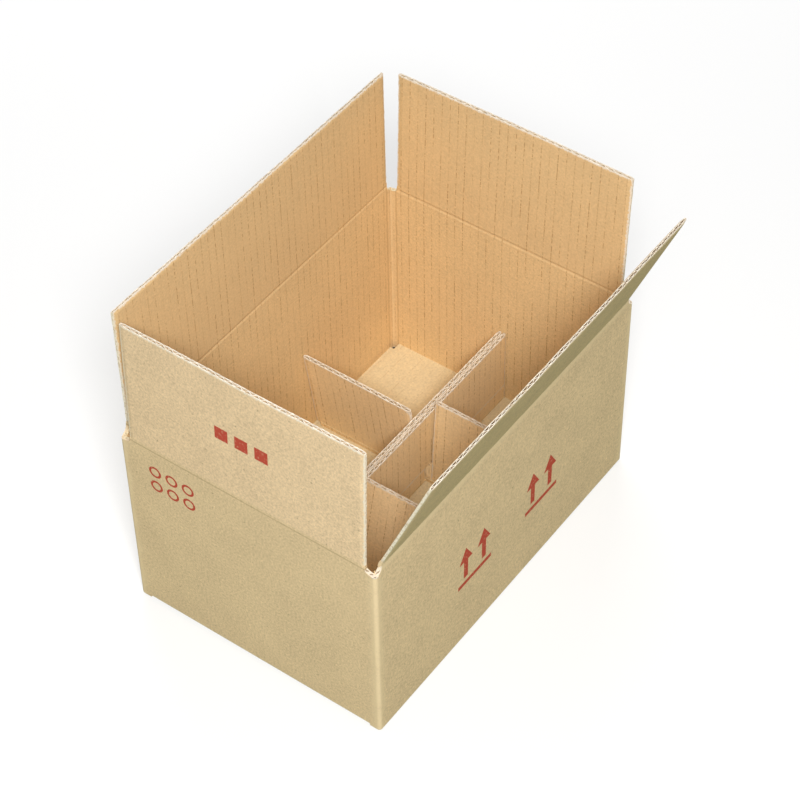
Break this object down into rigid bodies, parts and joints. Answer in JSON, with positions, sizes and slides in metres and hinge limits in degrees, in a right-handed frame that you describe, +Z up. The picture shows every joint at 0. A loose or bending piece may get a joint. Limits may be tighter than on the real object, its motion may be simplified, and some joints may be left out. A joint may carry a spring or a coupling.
{
  "type": "bottle shipping box",
  "caption": "Open corrugated shipping carton with hinged top flaps and a low slotted partition that keeps jars or bottles apart.",
  "frame": {"origin": "centre of the carton's underside", "axes": "+Z up, +X along the carton's length towards the back end wall, +Y across it towards the left side wall"},
  "size_m": [0.2884, 0.2325, 0.2559],
  "materials": {
    "kraft_board": "matte",
    "kraft_partition": "matte"
  },
  "bodies": {
    "carton": {"carton_body": "kraft_board", "long_divider": "kraft_partition", "cross_divider_front": "kraft_partition", "cross_divider_back": "kraft_partition"},
    "front_flap": {"end_flap_front": "kraft_board"},
    "back_flap": {"end_flap_back": "kraft_board"},
    "right_flap": {"side_flap_right": "kraft_board"},
    "left_flap": {"side_flap_left": "kraft_board"}
  },
  "joints": [
    {"name": "front_flap_crease", "type": "hinge", "parent": "carton", "child": "front_flap", "pos_m": [-0.142, 0, 0.155], "axis": [0, 1, 0], "range_deg": [-171.8, 88.2]},
    {"name": "back_flap_crease", "type": "hinge", "parent": "carton", "child": "back_flap", "pos_m": [0.142, 0, 0.155], "axis": [0, -1, 0], "range_deg": [-167.4, 92.6]},
    {"name": "right_flap_crease", "type": "hinge", "parent": "carton", "child": "right_flap", "pos_m": [0, -0.098, 0.1584], "axis": [-1, 0, 0], "range_deg": [-148, 112]},
    {"name": "left_flap_crease", "type": "hinge", "parent": "carton", "child": "left_flap", "pos_m": [0, 0.098, 0.1584], "axis": [1, 0, 0], "range_deg": [-170, 90]}
  ]
}
